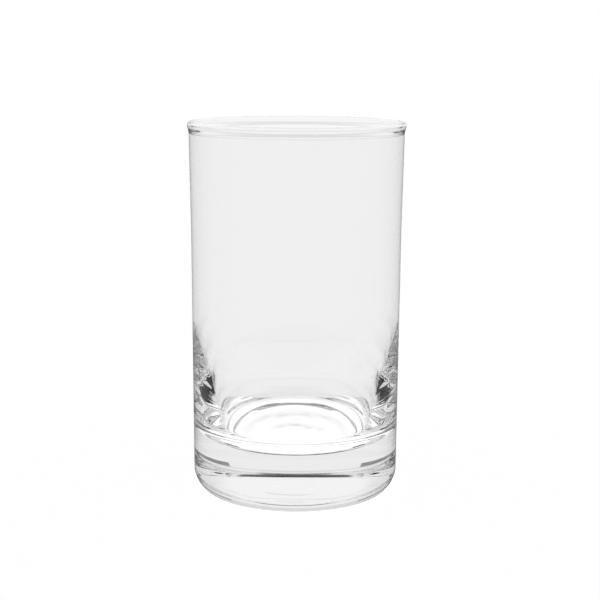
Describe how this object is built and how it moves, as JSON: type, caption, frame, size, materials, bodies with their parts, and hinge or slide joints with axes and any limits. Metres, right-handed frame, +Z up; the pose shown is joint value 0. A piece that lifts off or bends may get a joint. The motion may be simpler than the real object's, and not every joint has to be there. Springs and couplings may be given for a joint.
{
  "type": "drinking tumbler",
  "caption": "Straight clear drinking tumbler with a thin wall, a rounded fire-polished lip and a well that narrows into a heavy rounded base.",
  "frame": {"origin": "centre of the foot, on the plane that the glass stands on", "axes": "+Z up along the axis that the glass is turned about; X and Y are free, because the glass is round"},
  "size_m": [0.064, 0.064, 0.11],
  "materials": {
    "clear_glass": "clear, fire-polished soda-lime glass"
  },
  "bodies": {
    "root": {"tumbler": "clear_glass"}
  },
  "joints": []
}
